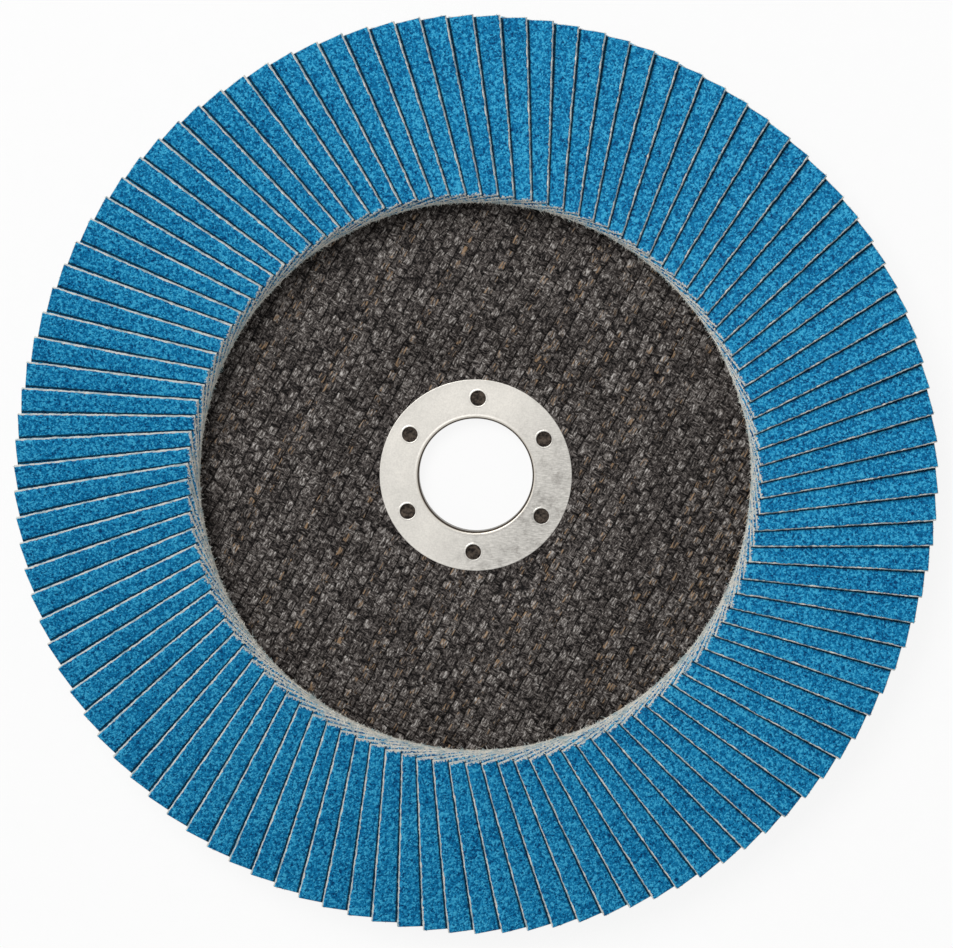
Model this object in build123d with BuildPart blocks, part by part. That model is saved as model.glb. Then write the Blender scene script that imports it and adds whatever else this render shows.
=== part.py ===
"""Flap disc, 180 mm, for an angle grinder: a dished glass-fibre plate with a pressed steel centre ring,
and a fan of overlapping abrasive-cloth flaps set in an adhesive bed on its conical rim.

Axis of rotation on Z, abrasive side towards +Z. The origin is the centre of the bore on the back face of
the hub, which seats against the grinder's flange. Millimetres and degrees.
"""

import os
from math import asin, ceil, cos, degrees, floor, hypot, radians, sin, sqrt, tan

from build123d import *

# ---------------------------------------------------------------- driving dimensions
# backing plate
plate_diameter = 170.0
hub_thickness = 3.0
rim_thickness = 2.15
hub_flat_radius = 22.8  # flat front of the hub, where the clamping nut lands
hub_slope_width = 8.5  # from the hub's flat to the knee
hub_depth = 3.4  # from the knee down to the hub's front face
cone_angle = 4.5  # the rim falls away from the abrasive side
hub_corner_bevel = 1.1  # along the faces, at the hub's two moulded corners
ribbon_pitch = 3.3  # the glass cloth's ribbons lie in pairs, and each pair stands up as a ridge
ribbon_width = 1.5
ribbon_height = 0.2
ribbon_turn = 60.5  # of the ridges from the X axis

# centre ring
bore_diameter = 22.23
ring_diameter = 37.7
ring_sheet = 0.5
ring_recess = 0.25  # the flange is pressed this deep into the resin
ring_edge_break = 0.45  # corner between flange and collar
flare_width = 0.6  # the collar's back end is rolled out over the plate
key_hole_count = 6
key_hole_diameter = 3.1
key_hole_circle = 30.3
key_hole_turn = 1.8  # clockwise from the Y axis, seen from the abrasive side

# flaps
disc_diameter = 180.0  # over the corners of the flaps
flap_count = 110
flap_width = 26.6
flap_thickness = 0.85
flap_inner_radius = 53.5  # to the middle of a flap's inner end
flap_clearance = 0.04  # between neighbours at their tightest, the inner ends
flaps_per_node = 2

# adhesive
adhesive_under_flap = 0.35
adhesive_bead = 1.0  # squeezed out inside the flaps' glued corners
adhesive_margin = 1.0  # the plate's edge stays bare
adhesive_fill = 0.9  # share of a flap's glued edge that stands in the adhesive
adhesive_runs = 36  # straight runs that make up the ring

# ---------------------------------------------------------------- derived geometry
disc_radius = disc_diameter / 2
plate_radius = plate_diameter / 2
bore_radius = bore_diameter / 2
ring_radius = ring_diameter / 2
collar_radius = bore_radius + ring_sheet
flare_radius = collar_radius + flare_width
ring_seat = hub_thickness - ring_recess
ring_front = ring_seat + ring_sheet
knee_radius = hub_flat_radius + hub_slope_width
knee_height = hub_thickness + hub_depth
cone = radians(cone_angle)
flap_step = radians(360 / flap_count)


def cone_height(radius):
    """Height of the plate's conical front face at a radius."""
    return knee_height - (radius - knee_radius) * tan(cone)


# Each flap overlies its clockwise neighbour, seen from the abrasive side. The lean is the smallest at
# which two neighbours clear each other at their inner ends, with what the cone takes away added back.
flap_pitch = flap_inner_radius * flap_step
flap_offset = flap_inner_radius * sin(flap_step)
cone_loss = sin(flap_step) * (
    (flap_width / 2 - flap_pitch) * sin(cone)
    + tan(flap_step / 2) * (flap_inner_radius * sin(cone) + flap_width / 2 * flap_thickness / flap_offset)
)
lean = asin((flap_thickness + flap_clearance + cone_loss) / flap_offset)
flap_half = flap_width * cos(lean) / 2  # half the width, seen along the axis
flap_rise = flap_width * sin(lean) * cos(cone) / 2  # the middle of a flap above its glued edge
flap_creep = flap_width * sin(lean) * sin(cone) / 2  # how much further out its free edge lies
flap_length = (sqrt(disc_radius**2 - flap_half**2) - flap_inner_radius - flap_creep) / cos(cone)

adhesive_height = adhesive_under_flap + adhesive_fill * flap_thickness * cos(lean)
adhesive_inner_radius = hypot(flap_inner_radius, flap_half) - adhesive_bead
adhesive_outer_radius = plate_radius - adhesive_margin
ribbon_inner_radius = knee_radius + 2 * hub_corner_bevel
ribbon_outer_radius = adhesive_inner_radius - ribbon_height

# ---------------------------------------------------------------- backing plate
# Layers of woven glass and resin, moulded in one piece: flat hub, slope up to the knee, conical rim.
back_offset = hub_thickness * tan(asin(hub_depth / hypot(hub_depth, hub_slope_width)) / 2)
rim_front = cone_height(plate_radius)
with BuildPart() as backing_plate:
    with BuildSketch(Plane.XZ) as plate_section:
        with BuildLine():
            Polyline(
                (collar_radius, 0),
                (collar_radius, hub_thickness),
                (hub_flat_radius, hub_thickness),
                (knee_radius, knee_height),
                (plate_radius, rim_front),
                (plate_radius, rim_front - rim_thickness),
                (knee_radius + back_offset, knee_height - hub_thickness),
                (hub_flat_radius + back_offset, 0),
                close=True,
            )
        make_face()
        front_corners = [v for v in plate_section.vertices() if v.X in (hub_flat_radius, knee_radius)]
        chamfer(front_corners, hub_corner_bevel)
    revolve(axis=Axis.Z)
    # seat of the ring's flange
    with BuildSketch(Plane.XY.offset(hub_thickness)):
        Circle(ring_radius)
    extrude(amount=-ring_recess, mode=Mode.SUBTRACT)
    # seat of the collar's rolled end
    with BuildSketch(Plane.XZ):
        with BuildLine():
            Polyline((collar_radius, 0), (flare_radius, 0), (collar_radius, flare_width), close=True)
        make_face()
    revolve(axis=Axis.Z, mode=Mode.SUBTRACT)

# Ridges of the woven ribbons, between the knee and the adhesive. Each follows the cone in straight runs, one
# on either side of the hub or a single one where it passes outside the knee.
ribbon = radians(ribbon_turn)
ribbon_rows = floor((ribbon_outer_radius - 2 * ribbon_pitch) / ribbon_pitch)  # on either side of the axis
ribbon_foot = cone_height(ribbon_outer_radius) - ribbon_height
with backing_plate:
    for row in range(-ribbon_rows, ribbon_rows + 1):
        offset = row * ribbon_pitch
        near_edge = max(0, abs(offset) - ribbon_width / 2)
        end = sqrt(ribbon_outer_radius**2 - (abs(offset) + ribbon_width / 2) ** 2)
        if near_edge < ribbon_inner_radius:
            start = sqrt(ribbon_inner_radius**2 - near_edge**2)
            middle = (start + end) / 2
            runs = [(start, middle, end), (-end, -middle, -start)]
        else:
            runs = [(-end, -end / 2, 0, end / 2, end)]
        beside_hub = Plane(
            origin=(-offset * sin(ribbon), offset * cos(ribbon), 0),
            x_dir=(cos(ribbon), sin(ribbon), 0),
            z_dir=(sin(ribbon), -cos(ribbon), 0),
        )
        for stations in runs:
            crest = [(along, cone_height(hypot(along, offset)) + ribbon_height) for along in stations]
            with BuildSketch(beside_hub):
                with BuildLine():
                    Polyline((stations[0], ribbon_foot), *crest, (stations[-1], ribbon_foot), close=True)
                make_face()
            extrude(amount=ribbon_width / 2, both=True)
backing_plate.part.label = "backing_plate"

# ---------------------------------------------------------------- centre ring
# Pressed from sheet steel: a flange on the front of the hub, a collar through the bore and a rolled end.
with BuildPart() as centre_ring:
    with BuildSketch(Plane.XZ) as ring_section:
        with BuildLine():
            Polyline(
                (bore_radius, 0),
                (bore_radius, ring_front),
                (ring_radius, ring_front),
                (ring_radius, ring_seat),
                (collar_radius, ring_seat),
                (collar_radius, flare_width),
                (flare_radius, 0),
                close=True,
            )
        make_face()
        bend_corner = ring_section.vertices().group_by(Axis.Y)[-1].sort_by(Axis.X)[0]
        chamfer(bend_corner, ring_edge_break)
    revolve(axis=Axis.Z)
    with BuildSketch(Plane.XY.offset(ring_front)):
        with PolarLocations(key_hole_circle / 2, key_hole_count, 90 - key_hole_turn):
            Circle(key_hole_diameter / 2)
    extrude(amount=-ring_sheet, mode=Mode.SUBTRACT)
centre_ring.part.label = "centre_ring"

# ---------------------------------------------------------------- the fan of flaps
# Rectangles of abrasive cloth. A flap's plane has X along its length from the middle of the inner end,
# Y across it towards the glued edge and Z out of the grit. It leans by the overlap and follows the cone,
# and its glued edge comes down to the adhesive left under it at the disc's edge.
flap_plane = Plane(
    origin=(
        flap_inner_radius,
        0,
        cone_height(disc_radius) + adhesive_under_flap + flap_length * sin(cone) + flap_rise,
    ),
    x_dir=(cos(cone), 0, -sin(cone)),
    z_dir=(sin(cone) * cos(lean), sin(lean), cos(cone) * cos(lean)),
)
with BuildPart() as first_flap:
    with BuildSketch(flap_plane):
        Rectangle(flap_length, flap_width, align=(Align.MIN, Align.CENTER))
    extrude(amount=flap_thickness)

flap_nodes = []
for node in range(ceil(flap_count / flaps_per_node)):
    first = node * flaps_per_node
    with BuildPart() as flap_pair:
        for index in range(first, min(first + flaps_per_node, flap_count)):
            add(first_flap.part.rotate(Axis.Z, degrees(flap_step) * index))
    flap_pair.part.label = f"flap_pair_{node + 1:02}"
    flap_nodes.append(flap_pair.part)

# ---------------------------------------------------------------- adhesive bed
# Resin laid on the cone in short straight runs, mitred into a ring. The flaps are pressed into it wet, so
# each leaves a step in it.
run_half_angle = radians(180 / adhesive_runs)
adhesive_root = rim_thickness / 2  # the runs reach into the plate, which is then cut out of them
adhesive_reach = adhesive_outer_radius * tan(run_half_angle)
with BuildPart() as adhesive_run:
    with BuildSketch(Plane.XZ):
        with BuildLine():
            Polyline(
                (adhesive_inner_radius, cone_height(adhesive_inner_radius) + adhesive_height),
                (adhesive_outer_radius, cone_height(adhesive_outer_radius) + adhesive_height),
                (adhesive_outer_radius, cone_height(adhesive_outer_radius) - adhesive_root),
                (adhesive_inner_radius, cone_height(adhesive_inner_radius) - adhesive_root),
                close=True,
            )
        make_face()
    extrude(amount=adhesive_reach, both=True)
    with BuildSketch():
        with BuildLine():
            Polyline(
                (0, 0),
                (adhesive_outer_radius, -adhesive_reach),
                (adhesive_outer_radius, adhesive_reach),
                close=True,
            )
        make_face()
    extrude(amount=knee_height + adhesive_height, mode=Mode.INTERSECT)

with BuildPart() as adhesive_bed:
    with PolarLocations(0, adhesive_runs):
        add(adhesive_run.part)
    add([backing_plate.part, *flap_nodes], mode=Mode.SUBTRACT)
adhesive_bed.part.label = "adhesive_bed"

# ---------------------------------------------------------------- export
os.makedirs("parts", exist_ok=True)
for piece in [backing_plate.part, centre_ring.part, adhesive_bed.part, *flap_nodes]:
    export_step(piece, f"parts/{piece.label}.step")
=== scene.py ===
"""Looks of a 180 mm flap disc: a woven, resin-bonded plate, a pressed steel centre ring, an adhesive bed
and a fan of 110 abrasive-cloth flaps. Metres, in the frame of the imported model.
"""

import math

import bpy
import numpy as np
from mathutils import Matrix, Vector


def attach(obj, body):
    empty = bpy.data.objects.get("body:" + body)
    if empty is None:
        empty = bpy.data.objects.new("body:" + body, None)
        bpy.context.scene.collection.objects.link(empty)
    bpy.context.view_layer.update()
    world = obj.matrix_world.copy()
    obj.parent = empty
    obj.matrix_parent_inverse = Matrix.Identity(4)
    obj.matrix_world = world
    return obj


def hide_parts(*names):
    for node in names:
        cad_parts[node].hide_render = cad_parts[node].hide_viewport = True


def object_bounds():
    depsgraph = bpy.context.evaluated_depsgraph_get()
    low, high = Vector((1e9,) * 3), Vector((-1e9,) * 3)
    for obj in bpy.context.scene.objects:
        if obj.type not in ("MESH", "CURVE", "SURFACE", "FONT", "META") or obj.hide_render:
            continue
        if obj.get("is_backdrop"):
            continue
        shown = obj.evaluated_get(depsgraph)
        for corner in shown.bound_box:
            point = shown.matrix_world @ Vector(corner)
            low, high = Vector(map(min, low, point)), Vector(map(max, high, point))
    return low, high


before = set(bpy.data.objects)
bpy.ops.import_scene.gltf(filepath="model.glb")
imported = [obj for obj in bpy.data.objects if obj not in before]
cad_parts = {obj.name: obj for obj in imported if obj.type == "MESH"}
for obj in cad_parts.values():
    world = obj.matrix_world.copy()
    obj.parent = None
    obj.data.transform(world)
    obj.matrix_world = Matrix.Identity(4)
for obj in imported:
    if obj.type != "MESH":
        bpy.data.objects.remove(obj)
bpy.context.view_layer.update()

# ------------------------------------------------------------------ backing plate, core
# A dished plate of glass cloth and phenolic resin, hot-moulded in one piece: flat hub, slope, knee and
# conical rim. This is its body; the woven outer plies lie on it. Turned from its section, as its mould is.
MM = 0.001
BORE = 11.615 * MM  # radius of the hole that the steel collar lines
HUB_FLAT = 22.8 * MM
KNEE = 31.3 * MM
RIM = 85.0 * MM
HUB_FRONT = 3.0 * MM
KNEE_FRONT = 6.4 * MM
CONE = math.radians(4.5)
BACK_SHIFT = 0.57 * MM  # the back's corners lie this much further out than the front's
MOULD_ROUND = 0.35 * MM  # how softly the mould rounds the corners of each face
FRONT_WOVEN = 56.0 * MM  # out to here the front has its woven ply, and beyond it the adhesive
PLY_SINK = 0.35 * MM  # the body's faces lie this far under the plies' mean faces
RIM_FRONT_CORNER = 0.5 * MM
RIM_BACK_CORNER = 0.3 * MM


def rounded(flat, slope, rim):
    """The line that runs along flat, slope and rim, with the two moulded corners rounded."""
    lower = (flat + slope + np.sqrt((flat - slope) ** 2 + MOULD_ROUND**2)) / 2
    return (lower + rim - np.sqrt((lower - rim) ** 2 + MOULD_ROUND**2)) / 2


def front_of_plate(radius):
    """Height of the plate's front face at each radius."""
    slope = HUB_FRONT + (radius - HUB_FLAT) * (KNEE_FRONT - HUB_FRONT) / (KNEE - HUB_FLAT)
    rim = KNEE_FRONT - (radius - KNEE) * math.tan(CONE)
    return rounded(np.full_like(radius, HUB_FRONT), slope, rim)


def back_of_plate(radius):
    """Height of the plate's back face at each radius."""
    slope = (radius - HUB_FLAT - BACK_SHIFT) * (KNEE_FRONT - HUB_FRONT) / (KNEE - HUB_FLAT)
    top = KNEE_FRONT - HUB_FRONT
    rim = top - (radius - KNEE - BACK_SHIFT) * top / (RIM - KNEE - BACK_SHIFT)
    return rounded(np.zeros_like(radius), slope, rim)


def deselect():
    """Nothing stays selected, so that the next operator acts on its own piece alone."""
    bpy.ops.object.select_all(action="DESELECT")


def turned(name, section, around, closed=True):
    """A ring turned about Z from its section, a line of (radius, height) points, closed or open."""
    deselect()
    first = section[0]
    bpy.ops.mesh.primitive_circle_add(vertices=around, radius=first[0], location=(0, 0, first[1]))
    made = bpy.context.object
    made.name = made.data.name = name
    bpy.ops.object.transform_apply(location=True)
    bpy.ops.object.mode_set(mode="EDIT")
    bpy.ops.mesh.select_all(action="SELECT")
    last = first
    for point in list(section[1:]) + ([first] if closed else []):
        bpy.ops.mesh.extrude_edges_move()
        grow = point[0] / last[0]
        bpy.ops.transform.resize(value=(grow, grow, 1), center_override=(0, 0, 0))
        bpy.ops.transform.translate(value=(0, 0, point[1] - last[1]))
        last = point
    bpy.ops.mesh.select_all(action="SELECT")
    bpy.ops.mesh.remove_doubles(threshold=0.002 * MM)
    bpy.ops.mesh.normals_make_consistent(inside=False)
    bpy.ops.object.mode_set(mode="OBJECT")
    return made


def smooth(piece, degrees_sharp):
    """Shades the piece smooth, but for edges sharper than this."""
    deselect()
    piece.select_set(True)
    bpy.context.view_layer.objects.active = piece
    bpy.ops.object.shade_smooth_by_angle(angle=math.radians(degrees_sharp))


# close stations where the plate is dished, and a few on the straight rim
dished = np.linspace(BORE, 60 * MM, 70)
straight = np.linspace(62 * MM, RIM - RIM_FRONT_CORNER, 8)
core_radii = np.concatenate([dished, straight])
core_front = front_of_plate(core_radii) - np.where(core_radii < FRONT_WOVEN, PLY_SINK, 0)
core_back = back_of_plate(core_radii) + PLY_SINK
section = list(zip(core_radii, core_front))
section += [(RIM, front_of_plate(np.array([RIM]))[0] - RIM_FRONT_CORNER), (RIM, RIM_BACK_CORNER)]
section += list(zip(core_radii[::-1], core_back[::-1]))
plate_core = turned("plate_core", section, 180)
smooth(plate_core, 40)


def shader_of(name):
    """A new material, its tree, its shader and the piece's own coordinates."""
    made = bpy.data.materials.new(name)
    made.use_nodes = True
    tree = made.node_tree
    place = tree.nodes.new("ShaderNodeTexCoord").outputs["Object"]
    return made, tree, tree.nodes["Principled BSDF"], place


def node(tree, kind, inputs=(), **settings):
    """A new node; an input that is a socket is linked, and any other is set as a value."""
    made = tree.nodes.new("ShaderNode" + kind)
    for name, value in settings.items():
        setattr(made, name, value)
    for socket, value in dict(inputs).items():
        if isinstance(value, bpy.types.NodeSocket):
            tree.links.new(value, made.inputs[socket])
        else:
            made.inputs[socket].default_value = value
    return made


def ramp(tree, value, stops):
    """A colour ramp over value, from (position, colour) stops."""
    made = node(tree, "ValToRGB", {"Fac": value})
    ends = made.color_ramp.elements
    for index, (position, colour) in enumerate(stops):
        stop = ends[index] if index < 2 else ends.new(position)
        stop.position = position
        stop.color = (*colour, 1)
    return made.outputs["Color"]


resin, tree, shader, place = shader_of("moulded_resin")
mottle = node(tree, "TexNoise", {"Vector": place, "Scale": 1100, "Detail": 4, "Roughness": 0.65})
grain = node(tree, "TexNoise", {"Vector": place, "Scale": 2600, "Detail": 3})
colour = ramp(tree, mottle.outputs["Fac"], [(0.40, (0.008, 0.006, 0.005)), (0.64, (0.110, 0.086, 0.068))])
shader.inputs["Specular IOR Level"].default_value = 0.1
tree.links.new(colour, shader.inputs["Base Color"])
rough = node(tree, "MapRange", {"Value": mottle.outputs["Fac"], "To Min": 0.42, "To Max": 0.62})
tree.links.new(rough.outputs["Result"], shader.inputs["Roughness"])
bump = node(tree, "Bump", {"Height": grain.outputs["Fac"], "Strength": 0.5, "Distance": 0.08 * MM})
tree.links.new(bump.outputs["Normal"], shader.inputs["Normal"])
plate_core.data.materials.append(resin)
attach(plate_core, "root")
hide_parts("backing_plate")

# ------------------------------------------------------------------ backing plate, woven plies
# The outer plies are a plain weave of flat, slightly crumpled ribbons, soaked in dark resin and pressed on
# in the mould. The ribbons lie in pairs, pass over and under one another and leave small pits between.
RIBBON_PITCH = 1.65 * MM  # between ribbons that run up and to the right
CROSS_PITCH = 1.40 * MM  # between the ribbons across them
RIBBON_TURN = math.radians(60.5)
PLY_DEPTH = 0.8 * MM  # how far the closed sheet goes down into the plate's body
RIBBON_RISE = 0.10 * MM  # a ribbon's rise over the one that it crosses
PAIR_FALL = 0.13 * MM  # a ribbon's fall to its edge beside the other of its pair
FALL_A, FALL_C = 0.27 * MM, 0.25 * MM  # and to its edge between pairs: ribbons along, and across
RIBBON_TILT = 0.24 * MM  # how unevenly a ribbon lies from edge to edge
CRUMPLE = 0.10 * MM
WANDER, FINE_WANDER = 0.28 * MM, 0.10 * MM  # how far the ribbons stray from straight lines
STEP_DROP = 0.10 * MM  # how deep the darkest step is
STEPS_A, STEPS_C = (0.36, 0.66), (0.32, 0.54)  # how deep a step is and how dark its painted shade: inside a pair, and between pairs
CORNER_STEP = 0.45  # and at the pits where four ribbons meet
PLY_WAVE = 0.05 * MM  # slow unevenness of the whole ply
LOWEST = 0.004 * MM  # the back is pressed flat where the plate stands


def hashed(a, b, seed):
    """A fixed random number from 0 to 1 for each pair of whole numbers."""
    value = np.sin(a * 127.1 + b * 311.7 + seed * 74.7) * 43758.5453
    return value - np.floor(value)


def drift(a, b, scale, seed):
    """Smooth unevenness from -1 to 1, with features about scale across."""
    total = 0
    for turn in range(5):
        angle = turn * 1.257 + seed
        phase = (a * math.cos(angle) + b * math.sin(angle)) / scale * 2 * math.pi
        total = total + np.sin(phase * (1 + 0.23 * turn) + seed * (3 + turn))
    return total / 5


def woven_ply(name, samples, inner, outer, surface, side, lift, seed):
    """A closed sheet of woven ribbons over surface; side is 1 for the front and -1 for the back."""
    reach = outer + 2 * MM
    counts = [4 * int(math.ceil(reach / pitch / 2)) + 2 for pitch in (CROSS_PITCH, RIBBON_PITCH)]
    rows = [n * len(samples) for n in counts]
    deselect()
    bpy.ops.mesh.primitive_grid_add(x_subdivisions=rows[0], y_subdivisions=rows[1], size=2)
    made = bpy.context.object
    made.name = made.data.name = name
    flat = np.zeros(len(made.data.vertices) * 3)
    made.data.vertices.foreach_get("co", flat)
    flat = flat.reshape(-1, 3)
    column = np.rint((flat[:, 0] + 1) / 2 * rows[0]).astype(int)
    row = np.rint((flat[:, 1] + 1) / 2 * rows[1]).astype(int)
    step = np.array(samples)
    cross, t = column // len(samples), step[column % len(samples)]
    along, s = row // len(samples), step[row % len(samples)]
    u = (cross + t - counts[0] / 2) * CROSS_PITCH
    v = (along + s - counts[1] / 2) * RIBBON_PITCH
    # crossing ribbons rise and dip past each other; each ribbon falls away to its edges
    even_a = np.where(along % 2, -1, 1)
    even_c = np.where(cross % 2, -1, 1)
    up_a = RIBBON_RISE * np.sin(math.pi * (cross + t)) * even_a
    up_c = -RIBBON_RISE * np.sin(math.pi * (along + s)) * even_c
    edge_a, edge_c = np.abs(2 * (s - 0.5)), np.abs(2 * (t - 0.5))
    near_a = np.where(s < 0.5, along, along + 1)
    near_c = np.where(t < 0.5, cross, cross + 1)
    fall_a = np.where(near_a % 2, PAIR_FALL, FALL_A) * (0.6 + 0.8 * hashed(near_a, cross, seed))
    fall_c = np.where(near_c % 2, PAIR_FALL, FALL_C) * (0.6 + 0.8 * hashed(near_c, along, seed + 5))
    tilt_a = (hashed(along, cross // 2, seed + 1) - 0.5) * RIBBON_TILT
    tilt_c = (hashed(cross, along // 2, seed + 2) - 0.5) * RIBBON_TILT
    top_a = up_a - fall_a * edge_a**3 + tilt_a * (s - 0.5)
    top_c = up_c - fall_c * edge_c**3 + tilt_c * (t - 0.5)
    top_a = top_a + CRUMPLE * (hashed(row, column // 2, seed + 3) - 0.5) + 0.03 * MM * (edge_a < 0.99)
    top_c = top_c + CRUMPLE * (hashed(column, row // 2, seed + 4) - 0.5)
    # where one ribbon dives under the next the ply steps down, and the step is also painted dark as shade; pairs
    # part more deeply
    on_line_a, on_line_c = s < 0.01, t < 0.01
    step_a = on_line_a * np.where(near_a % 2, *STEPS_A) * (0.15 + 1.4 * hashed(near_a, cross, seed + 9))
    step_a = step_a + CORNER_STEP * on_line_a * (edge_c > 0.7) * hashed(near_a, near_c, seed + 12)
    step_c = on_line_c * np.where(near_c % 2, *STEPS_C) * (0.15 + 1.3 * hashed(near_c, along, seed + 10))
    relief = np.maximum(top_a, top_c) + PLY_WAVE * np.cos(math.pi * (v / RIBBON_PITCH))
    relief = relief - STEP_DROP * np.minimum(step_a + step_c, 1)
    over_a = top_a > top_c
    # in the plane the ribbons wander a little
    u2 = u + WANDER * drift(u, v, 9 * MM, seed + 0.3) + FINE_WANDER * drift(u, v, 3.1 * MM, seed + 1.7)
    v2 = v + WANDER * drift(u, v, 8 * MM, seed + 2.9) + FINE_WANDER * drift(u, v, 3.4 * MM, seed + 0.9)
    turn = RIBBON_TURN * side
    x = u2 * math.cos(turn) - v2 * math.sin(turn)
    y = u2 * math.sin(turn) + v2 * math.cos(turn)
    radius = np.hypot(x, y)
    z = surface(radius) + side * (relief + lift + PLY_WAVE * drift(u, v, 13 * MM, seed + 4.1))
    z = np.maximum(z, LOWEST)
    made.data.vertices.foreach_set("co", np.column_stack([x, y, z]).ravel())
    light = np.where(over_a, hashed(along, cross // 2, seed + 6), hashed(cross, along // 2, seed + 7))
    # ribbon_depth is low in hollows, pits and steps, where the material paints shade
    depth = np.clip((relief + 0.2 * MM) / (0.3 * MM), 0, 1)
    depth = np.clip(0.45 + 0.55 * depth - step_a - step_c, 0, 1)
    line = np.where(over_a, hashed(along, along * 0, seed + 8), 0)
    kept = {"ribbon_tone": light, "ribbon_depth": depth, "ribbon_line": line, "ribbon_over": over_a.astype(float)}
    for title, values in kept.items():
        made.data.attributes.new(title, "FLOAT", "POINT").data.foreach_set("value", values)
    # trim to the ring, then close the sheet with a wall and a base
    outside = (radius < inner) | (radius > outer)
    bpy.ops.object.mode_set(mode="EDIT")
    bpy.ops.mesh.select_mode(type="VERT")
    bpy.ops.mesh.select_all(action="DESELECT")
    bpy.ops.object.mode_set(mode="OBJECT")
    made.data.vertices.foreach_set("select", outside)
    bpy.ops.object.mode_set(mode="EDIT")
    bpy.ops.mesh.delete(type="VERT")
    bpy.ops.mesh.select_all(action="SELECT")
    bpy.ops.mesh.delete_loose()
    bpy.ops.mesh.select_mode(type="EDGE")
    bpy.ops.mesh.select_all(action="DESELECT")
    bpy.ops.mesh.select_non_manifold(extend=False, use_wire=False, use_multi_face=False, use_verts=False)
    bpy.ops.mesh.extrude_edges_move()
    bpy.ops.transform.translate(value=(0, 0, -side * PLY_DEPTH))
    bpy.ops.object.mode_set(mode="OBJECT")
    base_margin, wall_reach = 1 * MM, 3 * MM
    base_radii = np.linspace(inner + base_margin, outer - base_margin, 24)
    base_line = list(zip(base_radii, surface(base_radii) - side * PLY_DEPTH))
    base = turned("base", base_line, 120, closed=False)
    deselect()
    base.select_set(True)
    made.select_set(True)
    bpy.context.view_layer.objects.active = made
    bpy.ops.object.join()
    for near in (inner, outer):
        bpy.ops.object.mode_set(mode="EDIT")
        bpy.ops.mesh.select_mode(type="EDGE")
        bpy.ops.mesh.select_all(action="DESELECT")
        bpy.ops.mesh.select_non_manifold(extend=False, use_wire=False, use_multi_face=False, use_verts=False)
        bpy.ops.object.mode_set(mode="OBJECT")
        for edge in made.data.edges:
            if edge.select:
                at = made.data.vertices[edge.vertices[0]].co
                edge.select = abs(math.hypot(at.x, at.y) - near) < wall_reach
        bpy.ops.object.mode_set(mode="EDIT")
        bpy.ops.mesh.bridge_edge_loops()
        bpy.ops.object.mode_set(mode="OBJECT")
    bpy.ops.object.mode_set(mode="EDIT")
    bpy.ops.mesh.select_all(action="SELECT")
    bpy.ops.mesh.normals_make_consistent(inside=False)
    bpy.ops.object.mode_set(mode="OBJECT")
    smooth(made, 60)
    return made


front_ply = woven_ply(
    "plate_front_ply", (0, 0.13, 0.37, 0.63, 0.87), 18.4 * MM, 54.8 * MM, front_of_plate, 1, 0.02 * MM, 3
)
back_ply = woven_ply(
    "plate_back_ply", (0, 0.25, 0.75), 12.6 * MM, 84.0 * MM, back_of_plate, -1, -0.16 * MM, 11
)

weave, tree, shader, place = shader_of("woven_ribbon")
tone = node(tree, "Attribute", attribute_name="ribbon_tone").outputs["Fac"]
depth = node(tree, "Attribute", attribute_name="ribbon_depth").outputs["Fac"]
line = node(tree, "Attribute", attribute_name="ribbon_line").outputs["Fac"]
over = node(tree, "Attribute", attribute_name="ribbon_over").outputs["Fac"]
turned_place = node(tree, "Mapping", {"Vector": place, "Rotation": (0, 0, -RIBBON_TURN)}).outputs["Vector"]
folds_a = node(tree, "Mapping", {"Vector": turned_place, "Scale": (1150, 3300, 1150)}).outputs["Vector"]
folds_c = node(tree, "Mapping", {"Vector": turned_place, "Scale": (3300, 1150, 1150)}).outputs["Vector"]
fold_a = node(tree, "TexNoise", {"Vector": folds_a, "Scale": 1, "Detail": 3, "Roughness": 0.7}).outputs["Fac"]
fold_c = node(tree, "TexNoise", {"Vector": folds_c, "Scale": 1, "Detail": 3, "Roughness": 0.7}).outputs["Fac"]
fold = node(tree, "Mix", {"Factor": over, "A": fold_c, "B": fold_a}).outputs["Result"]
mixed = node(tree, "Math", {0: tone, 1: 0.11, 2: fold}, operation="MULTIPLY_ADD").outputs["Value"]
# painted light: ribbons that run up and to the right are painted a little lighter, as if they caught the lamp
mixed = node(tree, "Math", {0: over, 1: 0.05, 2: mixed}, operation="MULTIPLY_ADD").outputs["Value"]
# painted glints: the ramp's palest stop paints the ribbons' bright shine into their colour, over the folds that
# the bump also tilts
colour = ramp(
    tree,
    mixed,
    [
        (0.46, (0.0035, 0.003, 0.003)),
        (0.81, (0.600, 0.570, 0.540)),
        (0.575, (0.053, 0.045, 0.042)),
        (0.685, (0.180, 0.162, 0.150)),
    ],
)
# painted shade: pits and steps are mixed towards near-black
pit_shade_mix = node(tree, "MapRange", {"Value": depth, "From Min": 0.12, "From Max": 0.60}).outputs["Result"]
shaded = node(
    tree, "Mix", {"Factor": pit_shade_mix, "A": (0.003, 0.0025, 0.0025, 1), "B": colour}, data_type="RGBA"
).outputs["Result"]
fleck_place = node(tree, "Mapping", {"Vector": turned_place, "Scale": (330, 2900, 1000)}).outputs["Vector"]
fleck_spots = node(tree, "TexNoise", {"Vector": fleck_place, "Scale": 1, "Detail": 2}).outputs["Fac"]
on_line = node(tree, "MapRange", {"Value": line, "From Min": 0.68, "From Max": 0.74}).outputs["Result"]
spotted = node(tree, "MapRange", {"Value": fleck_spots, "From Min": 0.57, "From Max": 0.63}).outputs["Result"]
fleck = node(tree, "Math", {0: on_line, 1: spotted}, operation="MULTIPLY").outputs["Value"]
fleck = node(tree, "Math", {0: fleck, 1: 0.75}, operation="MULTIPLY").outputs["Value"]
flecked = node(
    tree, "Mix", {"Factor": fleck, "A": shaded, "B": (0.36, 0.235, 0.135, 1)}, data_type="RGBA"
).outputs["Result"]
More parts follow.
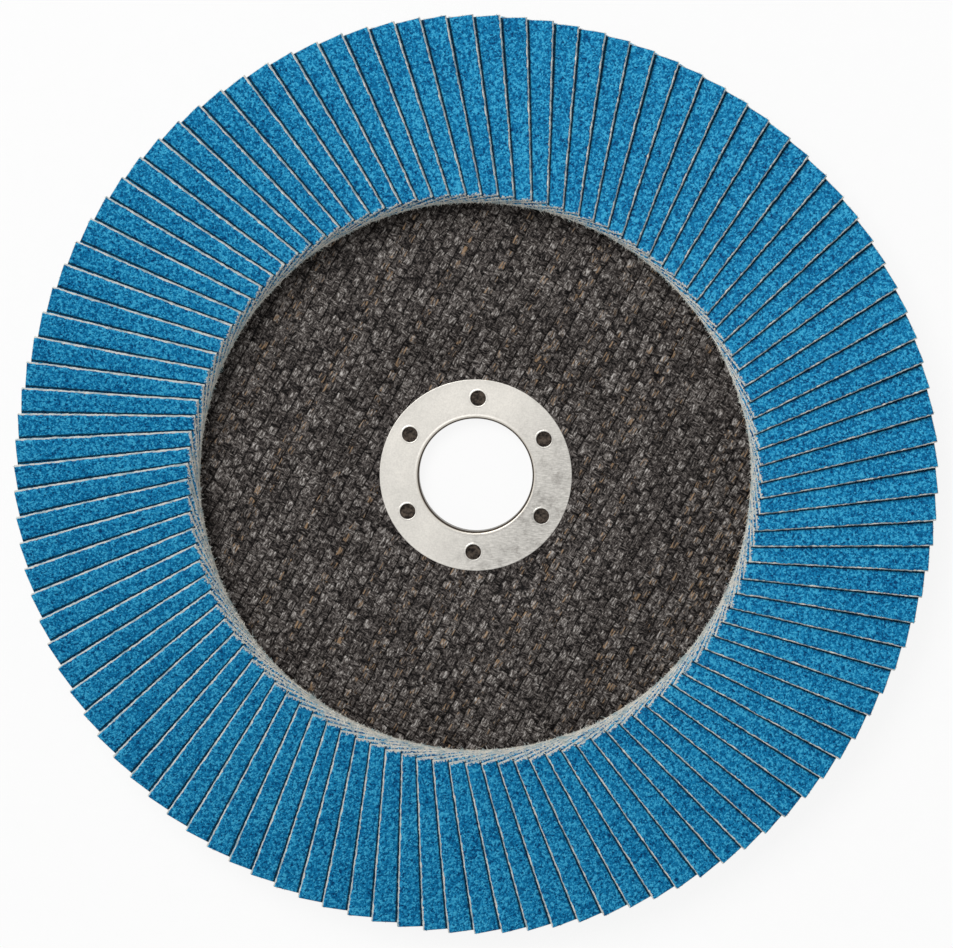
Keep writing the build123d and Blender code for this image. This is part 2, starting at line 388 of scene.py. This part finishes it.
tree.links.new(flecked, shader.inputs["Base Color"])
rough = node(tree, "MapRange", {"Value": tone, "To Min": 0.30, "To Max": 0.6}).outputs["Result"]
tree.links.new(rough, shader.inputs["Roughness"])
shader.inputs["Specular IOR Level"].default_value = 0.05
bump = node(tree, "Bump", {"Height": fold, "Strength": 0.8, "Distance": 0.24 * MM})
tree.links.new(bump.outputs["Normal"], shader.inputs["Normal"])
for ply in (front_ply, back_ply):
    ply.data.materials.append(weave)
    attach(ply, "root")
    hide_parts("backing_plate")

# ------------------------------------------------------------------ centre ring
# Pressed from thin zinc-plated sheet: a flange let into the hub's face, a collar through the bore and a
# rolled back end. Six punched holes key it to the resin, each with a bright raised burr.
RING = 18.85 * MM
RING_BORE = 11.115 * MM
RING_FRONT = 3.25 * MM
SHEET = 0.5 * MM
FLARE = 0.6 * MM
HOLE = 1.55 * MM
HOLE_CIRCLE = 15.15 * MM
HOLE_TURN = math.radians(90 - 1.8)
BEND = 0.55 * MM  # radius of the bend from collar to flange
EDGE_ROLL = 0.12 * MM  # rounding of the flange's outer edge
COLLAR_BACK = 2.3 * MM  # where the back of the bend meets the collar's outside
# the flange's face from the bend to its edge: radius, and how far it lies under the front, in millimetres.
# A fine bead runs round the bore, and the face is a little hollow, as pressed sheet is
FACE_LINE = ((11.705, 0), (11.85, 0), (11.95, 0.025), (12.15, 0.015), (13.4, 0.015))
FACE_LINE += ((17.6, 0.010), (18.65, 0.004), (18.7, 0))
# the section of a burr: distance out from the hole's wall, and height over the face, in millimetres
BURR_LINE = ((-0.01, -0.30), (-0.01, 0.02), (0.06, 0.045), (0.16, 0.045))
BURR_LINE += ((0.26, 0.02), (0.36, -0.04), (0.2, -0.30))


def arc(centre, radius, start, end, steps):
    """Points along an arc between two angles in degrees."""
    angles = np.radians(np.linspace(start, end, steps))
    return [(centre[0] + radius * math.cos(a), centre[1] + radius * math.sin(a)) for a in angles]


ring_section = [(RING_BORE, FLARE)]
ring_section += arc((RING_BORE + BEND, RING_FRONT - BEND), BEND, 180, 90, 7)
ring_section += [(radius * MM, RING_FRONT - drop * MM) for radius, drop in FACE_LINE]
ring_section += arc((RING - EDGE_ROLL, RING_FRONT - EDGE_ROLL), EDGE_ROLL, 90, 0, 4)
ring_section += [(RING, RING_FRONT - SHEET), (12.3 * MM, RING_FRONT - SHEET), (RING_BORE + SHEET, COLLAR_BACK)]
ring_section += [(RING_BORE + SHEET, FLARE), (RING_BORE + SHEET + FLARE, 0), (RING_BORE + SHEET / 2, 0)]
centre_ring = turned("centre_ring_pressing", ring_section, 240)
burr = turned("burr", [(HOLE + out * MM, height * MM) for out, height in BURR_LINE], 48)
for hole in range(6):
    angle = HOLE_TURN + hole * math.pi / 3
    at = (HOLE_CIRCLE * math.cos(angle), HOLE_CIRCLE * math.sin(angle), RING_FRONT)
    deselect()
    bpy.ops.mesh.primitive_cylinder_add(vertices=48, radius=HOLE, depth=2 * MM, location=at)
    punch = bpy.context.object
    cut = centre_ring.modifiers.new("punched", "BOOLEAN")
    cut.object = punch
    cut.operation = "DIFFERENCE"
    cut.solver = "EXACT"
    deselect()
    bpy.context.view_layer.objects.active = centre_ring
    centre_ring.select_set(True)
    bpy.ops.object.modifier_apply(modifier=cut.name)
    bpy.data.objects.remove(punch)
    lip = bpy.data.objects.new("lip", burr.data.copy())
    bpy.context.collection.objects.link(lip)
    lip.data.transform(Matrix.Translation(at))
    deselect()
    lip.select_set(True)
    centre_ring.select_set(True)
    bpy.context.view_layer.objects.active = centre_ring
    bpy.ops.object.join()
bpy.data.objects.remove(burr)
smooth(centre_ring, 30)

steel, tree, shader, place = shader_of("plated_steel")
cloud = node(tree, "TexNoise", {"Vector": place, "Scale": 90, "Detail": 4, "Roughness": 0.55}).outputs["Fac"]
drawn = node(tree, "Mapping", {"Vector": place, "Rotation": (0, 0, 0.9), "Scale": (900, 5200, 900)})
streak = node(tree, "TexNoise", {"Vector": drawn.outputs["Vector"], "Scale": 1, "Detail": 3}).outputs["Fac"]
smudge = node(tree, "TexNoise", {"Vector": place, "Scale": 520, "Detail": 5, "Roughness": 0.7}).outputs["Fac"]
clean = ramp(tree, cloud, [(0.32, (0.56, 0.540, 0.500)), (0.66, (0.645, 0.618, 0.570))])
painted_dim_tone = ramp(tree, streak, [(0.35, (0.37, 0.357, 0.332)), (0.65, (0.54, 0.522, 0.487))])
# the right and lower sides are painted greyer, a painted darker reflection that carries the drawn streaks; dark
# blotches are laid only inside that painted zone
parts = node(tree, "SeparateXYZ", {"Vector": place})
side = node(tree, "Math", {0: parts.outputs["Y"], 1: -0.7, 2: parts.outputs["X"]}, operation="MULTIPLY_ADD")
side = node(tree, "Math", {0: cloud, 1: 0.02, 2: side.outputs["Value"]}, operation="MULTIPLY_ADD")
# painted darker reflection: its share rises towards the right and downwards
painted_dim_share = node(tree, "MapRange", {"Value": side.outputs["Value"], "From Min": 8 * MM, "From Max": 28 * MM})
painted_dim_share = painted_dim_share.outputs["Result"]
colour = node(tree, "Mix", {"Factor": painted_dim_share, "A": clean, "B": painted_dim_tone}, data_type="RGBA").outputs["Result"]
marked = node(tree, "MapRange", {"Value": smudge, "From Min": 0.51, "From Max": 0.66, "To Max": 0.55})
marked = node(tree, "Math", {0: marked.outputs["Result"], 1: painted_dim_share}, operation="MULTIPLY").outputs["Value"]
colour = node(
    tree, "Mix", {"Factor": marked, "A": colour, "B": (0.20, 0.188, 0.172, 1)}, data_type="RGBA"
).outputs["Result"]
speck = node(tree, "TexNoise", {"Vector": place, "Scale": 3200, "Detail": 2, "Roughness": 0.6}).outputs["Fac"]
speck = node(tree, "MapRange", {"Value": speck, "From Min": 0.3, "From Max": 0.7, "To Min": 0.90, "To Max": 1.06})
colour = node(tree, "VectorMath", {0: colour, 1: speck.outputs["Result"]}, operation="MULTIPLY").outputs["Vector"]
# inside the collar's bore the wall is painted dark brown as shade below its rounded front corner, with a paler
# band half way down
flat_place = node(tree, "Mapping", {"Vector": place, "Scale": (1, 1, 0)}).outputs["Vector"]
radius = node(tree, "VectorMath", {0: flat_place}, operation="LENGTH").outputs["Value"]
in_bore = node(
    tree, "MapRange", {"Value": radius, "From Min": 11.70 * MM, "From Max": 11.62 * MM}
).outputs["Result"]
height = parts.outputs["Z"]
depth_down = node(tree, "MapRange", {"Value": height, "From Min": 0, "From Max": RING_FRONT}).outputs["Result"]
painted_bore_shade = ramp(
    tree,
    depth_down,
    [
        (0.15, (0.50, 0.48, 0.44)),
        (0.99, (0.50, 0.47, 0.42)),
        (0.22, (0.075, 0.058, 0.045)),
        (0.45, (0.20, 0.18, 0.15)),
        (0.70, (0.22, 0.20, 0.165)),
        (0.84, (0.055, 0.042, 0.032)),
        (0.975, (0.065, 0.050, 0.038)),
    ],
)
# painted shade in the bore is mixed in here
colour = node(tree, "Mix", {"Factor": in_bore, "A": colour, "B": painted_bore_shade}, data_type="RGBA").outputs["Result"]
tree.links.new(colour, shader.inputs["Base Color"])
shader.inputs["Metallic"].default_value = 1.0
rough = node(tree, "MapRange", {"Value": streak, "To Min": 0.30, "To Max": 0.52}).outputs["Result"]
tree.links.new(rough, shader.inputs["Roughness"])
bump = node(tree, "Bump", {"Height": streak, "Strength": 0.25, "Distance": 0.02 * MM})
tree.links.new(bump.outputs["Normal"], shader.inputs["Normal"])
centre_ring.data.materials.append(steel)
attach(centre_ring, "root")
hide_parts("centre_ring")

# ------------------------------------------------------------------ adhesive bed
# Epoxy laid on the conical rim; the flaps' glued edges are pressed into it wet and leave steps in it. It
# cures dark amber-brown, glossy, with a few bubbles.
glue, tree, shader, place = shader_of("cured_adhesive")
swirl = node(tree, "TexNoise", {"Vector": place, "Scale": 260, "Detail": 3}).outputs["Fac"]
bubble = node(tree, "TexVoronoi", {"Vector": place, "Scale": 1100}).outputs["Distance"]
colour = ramp(tree, swirl, [(0.3, (0.030, 0.020, 0.012)), (0.7, (0.085, 0.055, 0.030))])
tree.links.new(colour, shader.inputs["Base Color"])
rough = node(tree, "MapRange", {"Value": swirl, "To Min": 0.18, "To Max": 0.4}).outputs["Result"]
tree.links.new(rough, shader.inputs["Roughness"])
bump = node(tree, "Bump", {"Height": bubble, "Strength": 0.4, "Distance": 0.15 * MM})
tree.links.new(bump.outputs["Normal"], shader.inputs["Normal"])
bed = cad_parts["adhesive_bed"]
bed.data.materials.clear()
bed.data.materials.append(glue)

# ------------------------------------------------------------------ flaps
# Each flap is a rectangle of strong cotton-polyester cloth with a layer of blue ceramic grit bonded on its
# upper side. Guillotined edges show pale frayed cloth where the grit has chipped back from them. Each is
# glued by one long edge and lies over its clockwise neighbour.
FLAPS = 110
FLAP_STEP = 2 * math.pi / FLAPS
FLAP_WIDTH = 26.6 * MM
FLAP_LENGTH = 35.39 * MM
CLOTH = 0.58 * MM  # thickness of the cloth
GRIT = 0.27 * MM  # thickness of the grit on it
CHIPPED = 0.10 * MM  # how far the grit has chipped back from the cut edges
LEAN = math.radians(18.10)
FLAP_START = Vector((53.5, 0, 9.026)) * MM
ALONG_PARTS = 88  # stations along a flap, at which its edges are uneven
WIDTH_CUTS = (-12.4 * MM, -9.0 * MM, -2.0 * MM, 6.0 * MM)  # lines along the flap, where it can bend
IN_GRIT = CLOTH + 0.05 * MM  # what is higher than this is grit
FRAYED = 36  # loose yarn ends on one flap
OUTER_FRAYED = 3  # of them, those at its outer end
# how uneven the flaps are, in millimetres, and in degrees for their turn
SLIDE, TURNED = 0.14, 0.22
RAGGED, CHIPS, EDGE_WAVE = 0.034, 0.062, 0.015  # cut edge of the cloth, edge of the grit, waves of both
CHIP_WAVES = ((27, 0.040), (10, 0.034))  # longer chips: stations from one to the next, and depth
GRIT_REACH = 0.09  # the most that the grit reaches over the bare edge beyond its own mean line
CUT_SHORT, CUT_LATE = 0.07, 0.22  # most that is missing at the outer and at the inner end
SET_BACK = 0.30  # how far the outer end's free corner is set back
CUPPED = 0.06  # how far the cloth is cupped and waved at its outer end


def flap_frame():
    """The place of the first flap: its length runs outwards down the cone, and it leans over its neighbour."""
    along = Vector((math.cos(CONE), 0, -math.sin(CONE)))
    up = Vector((math.sin(CONE) * math.cos(LEAN), math.sin(LEAN), math.cos(CONE) * math.cos(LEAN)))
    across = up.cross(along)
    turn = Matrix((along, across, up)).transposed().to_4x4()
    return Matrix.Translation(FLAP_START) @ turn


deselect()
bpy.ops.mesh.primitive_cube_add(size=1, location=(FLAP_LENGTH / 2, 0, CLOTH / 2))
pattern = bpy.context.object
pattern.scale = (FLAP_LENGTH, FLAP_WIDTH, CLOTH)
bpy.ops.object.transform_apply(location=True, scale=True)
bpy.ops.object.mode_set(mode="EDIT")
bpy.ops.mesh.select_mode(type="EDGE")
bpy.ops.mesh.select_all(action="DESELECT")
bpy.ops.object.mode_set(mode="OBJECT")
for edge in pattern.data.edges:
    a, b = (pattern.data.vertices[i].co for i in edge.vertices)
    edge.select = abs(a.x - b.x) > FLAP_LENGTH / 2
bpy.ops.object.mode_set(mode="EDIT")
bpy.ops.mesh.subdivide(number_cuts=ALONG_PARTS - 1)
for cut_at in WIDTH_CUTS:
    bpy.ops.mesh.select_all(action="SELECT")
    bpy.ops.mesh.bisect(plane_co=(0, cut_at, 0), plane_no=(0, 1, 0))
bpy.ops.mesh.select_mode(type="FACE")
bpy.ops.mesh.select_all(action="DESELECT")
bpy.ops.object.mode_set(mode="OBJECT")
for face in pattern.data.polygons:
    face.select = face.normal.z > 0.9
bpy.ops.object.mode_set(mode="EDIT")
bpy.ops.mesh.inset(thickness=CHIPPED)
for share in (0.7, 0.3):
    bpy.ops.mesh.extrude_region_move(TRANSFORM_OT_translate={"value": (0, 0, GRIT * share)})
bpy.ops.transform.resize(value=(0.993, 0.990, 1), center_override=(FLAP_LENGTH / 2, 0, 0))
bpy.ops.mesh.select_all(action="SELECT")
bpy.ops.mesh.normals_make_consistent(inside=False)
bpy.ops.object.mode_set(mode="OBJECT")
smooth(pattern, 40)

deselect()
bpy.ops.mesh.primitive_cylinder_add(vertices=4, radius=1, depth=1, location=(0, 0, 0.5))
thread = bpy.context.object
bpy.ops.object.transform_apply(location=True)
bpy.ops.object.mode_set(mode="EDIT")
bpy.ops.mesh.select_all(action="DESELECT")
bpy.ops.mesh.select_mode(type="EDGE")
bpy.ops.object.mode_set(mode="OBJECT")
for edge in thread.data.edges:
    a, b = (thread.data.vertices[i].co for i in edge.vertices)
    edge.select = abs(a.z - b.z) > 0.5
bpy.ops.object.mode_set(mode="EDIT")
bpy.ops.mesh.subdivide(number_cuts=3)
bpy.ops.object.mode_set(mode="OBJECT")
row = thread.modifiers.new("row", "ARRAY")
row.count = FRAYED
row.use_relative_offset = False
bpy.ops.object.modifier_apply(modifier=row.name)

grit, tree, shader, place = shader_of("blue_grit")
cells = node(tree, "TexVoronoi", {"Vector": place, "Scale": 3400})
cell = node(tree, "SeparateColor", {"Color": cells.outputs["Color"]}).outputs["Red"]
clump = node(tree, "TexNoise", {"Vector": place, "Scale": 1300, "Detail": 4, "Roughness": 0.65}).outputs["Fac"]
patch = node(tree, "TexNoise", {"Vector": place, "Scale": 120, "Detail": 2}).outputs["Fac"]
mixed = node(tree, "Math", {0: cell, 1: 0.42, 2: clump}, operation="MULTIPLY_ADD").outputs["Value"]
mixed = node(tree, "Math", {0: patch, 1: 0.14, 2: mixed}, operation="MULTIPLY_ADD").outputs["Value"]
colour = ramp(
    tree,
    mixed,
    [
        (0.48, (0.0008, 0.035, 0.125)),
        (0.98, (0.052, 0.410, 0.665)),
        (0.68, (0.0025, 0.130, 0.310)),
        (0.84, (0.0090, 0.225, 0.465)),
    ],
)
# painted contact shadow: the grit is painted darker in the corner where the next flap lies on this one
tuck = node(tree, "Attribute", attribute_name="from_next_flap_edge").outputs["Fac"]
near = node(tree, "Math", {0: tuck}, operation="ABSOLUTE").outputs["Value"]
corner = node(tree, "MapRange", {"Value": near, "From Min": 0.34, "From Max": 0.12, "To Max": 0.9})
painted_contact_shadow = {"Factor": corner.outputs["Result"], "A": colour, "B": (0.004, 0.014, 0.024, 1)}
colour = node(tree, "Mix", painted_contact_shadow, data_type="RGBA").outputs["Result"]
# at the inner end the grit has flaked off the cloth here and there
from_end = node(tree, "Attribute", attribute_name="from_end").outputs["Fac"]
flake = node(tree, "TexNoise", {"Vector": place, "Scale": 2600, "Detail": 3, "Roughness": 0.6}).outputs["Fac"]
flake = node(tree, "Math", {0: from_end, 1: -0.42, 2: flake}, operation="MULTIPLY_ADD").outputs["Value"]
bare = node(tree, "MapRange", {"Value": flake, "From Min": 0.38, "From Max": 0.44, "To Max": 0.85})
bare_cloth = {"Factor": bare.outputs["Result"], "A": colour, "B": (0.66, 0.64, 0.56, 1)}
colour = node(tree, "Mix", bare_cloth, data_type="RGBA").outputs["Result"]
tree.links.new(colour, shader.inputs["Base Color"])
shader.inputs["Specular IOR Level"].default_value = 0.05
rough = node(tree, "MapRange", {"Value": clump, "To Min": 0.45, "To Max": 0.75}).outputs["Result"]
tree.links.new(rough, shader.inputs["Roughness"])
high = node(tree, "Math", {0: cells.outputs["Distance"], 1: -0.6, 2: clump}, operation="MULTIPLY_ADD")
bump = node(tree, "Bump", {"Height": high.outputs["Value"], "Strength": 0.8, "Distance": 0.14 * MM})
tree.links.new(bump.outputs["Normal"], shader.inputs["Normal"])

cloth, tree, shader, place = shader_of("backing_cloth")
weft = node(tree, "TexNoise", {"Vector": place, "Scale": 2400, "Detail": 4, "Roughness": 0.7}).outputs["Fac"]
soil = node(tree, "TexNoise", {"Vector": place, "Scale": 560, "Detail": 2}).outputs["Fac"]
pale = ramp(tree, weft, [(0.3, (0.52, 0.495, 0.43)), (0.60, (0.90, 0.87, 0.79))])
dust = node(tree, "MapRange", {"Value": soil, "From Min": 0.46, "From Max": 0.66, "To Max": 0.60})
dusted = {"Factor": dust.outputs["Result"], "A": pale, "B": (0.10, 0.30, 0.38, 1)}
colour = node(tree, "Mix", dusted, data_type="RGBA").outputs["Result"]
tree.links.new(colour, shader.inputs["Base Color"])
shader.inputs["Roughness"].default_value = 0.9
bump = node(tree, "Bump", {"Height": weft, "Strength": 0.6, "Distance": 0.08 * MM})
tree.links.new(bump.outputs["Normal"], shader.inputs["Normal"])

pattern.data.materials.append(cloth)
pattern.data.materials.append(grit)
for face in pattern.data.polygons:
    face.material_index = 1 if face.center.z > IN_GRIT else 0
base = np.zeros(len(pattern.data.vertices) * 3)
pattern.data.vertices.foreach_get("co", base)
base = base.reshape(-1, 3)
thread_base = np.zeros(len(thread.data.vertices) * 3)
thread.data.vertices.foreach_get("co", thread_base)
thread_base = thread_base.reshape(FRAYED, -1, 3)
thread.data.materials.append(cloth)

chance = np.random.default_rng(42)


def phase():
    """A chance phase for a wave."""
    return chance.uniform(0, 6.28)


half = FLAP_WIDTH / 2
pivot = FLAP_LENGTH * 0.3  # the flaps' small turns are about this far along them
edge_zone = 0.9 * MM  # the free edge's unevenness reaches this far in
laid = flap_frame()
to_next = np.array(laid.inverted() @ Matrix.Rotation(-FLAP_STEP, 4, "Z") @ laid)
slides = chance.uniform(-SLIDE, SLIDE, FLAPS) * MM
yaws = np.radians(chance.uniform(-TURNED, TURNED, FLAPS))
stations = np.arange(ALONG_PARTS + 1)
for flap in range(FLAPS):
    mesh = pattern.data.copy()
    piece = bpy.data.objects.new(f"flap_{flap + 1:03}", mesh)
    bpy.context.collection.objects.link(piece)
    x, y, z = base.T.copy()
    share = x / FLAP_LENGTH
    # ragged and slightly wavy free edge; the grit's own edge is rougher
    station = np.rint(share * ALONG_PARTS).astype(int)
    wave = np.zeros(ALONG_PARTS + 1)
    for part in range(6):
        wave += math.sin(part * 2.1 + flap) * EDGE_WAVE * np.sin(stations * (0.09 + 0.11 * part) + phase())
    ragged = chance.normal(0, RAGGED, ALONG_PARTS + 1) + wave
    chipped = chance.normal(0, CHIPS, ALONG_PARTS + 1) + wave
    for apart, deep in CHIP_WAVES:
        chipped += deep * np.sin(stations / apart * 2 * math.pi + phase())
    chipped = np.maximum(chipped, ragged - GRIT_REACH)
    near_free = np.clip((-y - half + edge_zone) / edge_zone, 0, 1)
    is_grit = z > IN_GRIT
    rim = (np.abs(z - CLOTH) < 0.01 * MM) & (y > -half + CHIPPED / 2)
    y = y + near_free * np.where(is_grit | rim, chipped[station], ragged[station]) * MM
    # ends are cut a touch short and uneven, the outer one slightly out of square
    short = chance.uniform(0.0, CUT_SHORT) * MM
    late = chance.uniform(0.0, CUT_LATE) * MM
    x = x * (FLAP_LENGTH - short - late) / FLAP_LENGTH + late
    x = x - share**4 * SET_BACK * MM * np.clip((-y - 5 * MM) / (half - 5 * MM), 0, 1)
    # the cloth is a little cupped and waved, most where its outer end is free
    room = CUPPED * MM * share**1.5
    z = z + room * np.sin(y / half * 2.2 + phase())
    z = z + room * np.sin(share * 7 + phase())
    y = y + slides[flap] + (x - pivot) * yaws[flap]
    mesh.vertices.foreach_set("co", np.column_stack([x, y, z]).ravel())
    # how far each point lies outside the free edge of the flap above, in millimetres
    above = (flap + 1) % FLAPS
    over = np.column_stack([x, y, z, np.ones_like(x)]) @ to_next.T
    edge = -half + slides[above] + (over[:, 0] - pivot) * yaws[above]
    mesh.attributes.new("from_end", "FLOAT", "POINT").data.foreach_set("value", (x - late) / MM)
    # this distance places the painted contact shadow on the grit
    mesh.attributes.new("from_next_flap_edge", "FLOAT", "POINT").data.foreach_set("value", (edge - over[:, 1]) / MM)
    # yarn ends pulled out of the guillotined cloth, most of them at the inner end
    fringe = bpy.data.objects.new("fringe", thread.data.copy())
    bpy.context.collection.objects.link(fringe)
    at_inner = np.arange(FRAYED) < FRAYED - OUTER_FRAYED
    long_ones = chance.random(FRAYED) < 0.12
    start = np.column_stack(
        [
            np.where(at_inner, late + 0.05 * MM, FLAP_LENGTH - short - 0.25 * MM),
            -half + chance.uniform(0.15, FLAP_WIDTH / MM - 1, FRAYED) * MM * np.where(at_inner, 1, 0.2),
            chance.uniform(0.10, 0.50, FRAYED) * MM,
        ]
    )
    out = np.column_stack(
        [np.where(at_inner, -1.0, 1.0), chance.uniform(-0.9, 0.6, FRAYED), chance.uniform(-0.4, 0.3, FRAYED)]
    )
    out[out[:, 1] < -0.4, 2] *= 0.3
    reach = np.where(long_ones, chance.uniform(0.45, 1.0, FRAYED), chance.uniform(0.15, 0.46, FRAYED)) * MM
    reach = np.where(at_inner, reach, np.minimum(reach, 0.22 * MM))
    curl = np.column_stack(
        [np.zeros(FRAYED), chance.uniform(-0.8, 0.8, FRAYED), chance.uniform(-0.6, 0.15, FRAYED)]
    )
    curl = curl * reach[:, None]
    thick = np.where(long_ones, chance.uniform(0.035, 0.06, FRAYED), chance.uniform(0.06, 0.13, FRAYED)) * MM
    out = out / np.linalg.norm(out, axis=1)[:, None]
    side_a = np.cross(out, (0.0, 0.0, 1.0))
    side_a = side_a / np.linalg.norm(side_a, axis=1)[:, None]
    side_b = np.cross(out, side_a)
    t = thread_base[:, :, 2:3]
    body = thick[:, None, None] * (1 - 0.55 * t)
    points = (
        start[:, None, :]
        + out[:, None, :] * t * reach[:, None, None]
        + curl[:, None, :] * t**2
        + body * (thread_base[:, :, :1] * side_a[:, None, :] + thread_base[:, :, 1:2] * side_b[:, None, :])
    )
    points[:, :, 1] += slides[flap]
    points[:, :, 2] = np.minimum(points[:, :, 2], CLOTH + GRIT - 0.02 * MM)
    fringe.data.vertices.foreach_set("co", points.ravel())
    deselect()
    fringe.select_set(True)
    piece.select_set(True)
    bpy.context.view_layer.objects.active = piece
    bpy.ops.object.join()
    piece.data.transform(Matrix.Rotation(flap * FLAP_STEP, 4, "Z") @ laid)
    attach(piece, "root")
    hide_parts(f"flap_pair_{flap // 2 + 1:02}")
bpy.data.objects.remove(pattern)
bpy.data.objects.remove(thread)

# ------------------------------------------------------------------ floor, lamp and camera
# A pale seamless floor under the disc, a broad soft lamp high at the upper left, and an even pale surround.
deselect()
bpy.ops.mesh.primitive_plane_add(size=6, location=(0, 0, -0.02 * MM))
floor = bpy.context.object
floor.name = "floor"


def seen_rays(tree):
    """1 for what the camera sees, also in gloss and through glass, and 0 for what lights the disc."""
    rays = node(tree, "LightPath").outputs
    seen = node(tree, "Math", {0: rays["Is Camera Ray"], 1: rays["Is Glossy Ray"]}, operation="MAXIMUM")
    seen = node(tree, "Math", {0: seen.outputs["Value"], 1: rays["Is Transmission Ray"]}, operation="MAXIMUM")
    return seen.outputs["Value"]


paper, tree, shader, place = shader_of("floor_paper")
fibre = node(tree, "TexNoise", {"Vector": place, "Scale": 300, "Detail": 3}).outputs["Fac"]
colour = ramp(tree, fibre, [(0.3, (0.86, 0.86, 0.86)), (0.7, (0.90, 0.90, 0.90))])
tree.links.new(colour, shader.inputs["Base Color"])
shader.inputs["Roughness"].default_value = 0.9
shader.inputs["Specular IOR Level"].default_value = 0.1
FLOOR_GLOW = 0.88  # the rest is lit paper, which keeps the disc's shadow
share_seen = node(tree, "Math", {0: seen_rays(tree), 1: FLOOR_GLOW}, operation="MULTIPLY").outputs["Value"]
white = node(tree, "Emission", {"Color": (1, 1, 1, 1), "Strength": 1.0}).outputs["Emission"]
both = node(tree, "MixShader", {0: share_seen, 1: shader.outputs["BSDF"], 2: white}).outputs["Shader"]
tree.links.new(both, tree.nodes["Material Output"].inputs["Surface"])
floor.data.materials.append(paper)
floor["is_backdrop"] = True

world = bpy.context.scene.world or bpy.data.worlds.new("surround")
bpy.context.scene.world = world
world.use_nodes = True
tree = world.node_tree
back = tree.nodes["Background"]
back.inputs["Color"].default_value = (1, 1, 1, 1)
SURROUND = 0.42  # the surround's light on the disc
level = node(tree, "MapRange", {"Value": seen_rays(tree), "To Min": SURROUND, "To Max": 1.0}).outputs["Result"]
tree.links.new(level, back.inputs["Strength"])

key = bpy.data.lights.new("key", "AREA")
key.shape = "RECTANGLE"
key.size, key.size_y = 0.8, 0.8
key.energy = 13.8
lamp = bpy.data.objects.new("key", key)
bpy.context.collection.objects.link(lamp)
lamp.location = (-0.46, 0.70, 1.18)
lamp.rotation_euler = (-lamp.location).to_track_quat("-Z", "Y").to_euler()

VIEW = Vector((0.038, 0.112, 0.993)).normalized()
AIM = Vector((0.27, 0.58, 6)) * MM
DISTANCE = 0.80
camera = bpy.data.objects.new("camera", bpy.data.cameras.new("camera"))
bpy.context.collection.objects.link(camera)
camera.location = AIM + VIEW * DISTANCE
away = -VIEW
right = away.cross(Vector((0, 1, 0))).normalized()
top = right.cross(away).normalized()
camera.rotation_euler = Matrix((right, top, VIEW)).transposed().to_euler()
camera.data.sensor_width = 36
camera.data.lens = 155.0
camera.data.clip_start = 0.01
bpy.context.scene.camera = camera
bpy.context.scene.view_settings.view_transform = "Standard"

low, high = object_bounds()
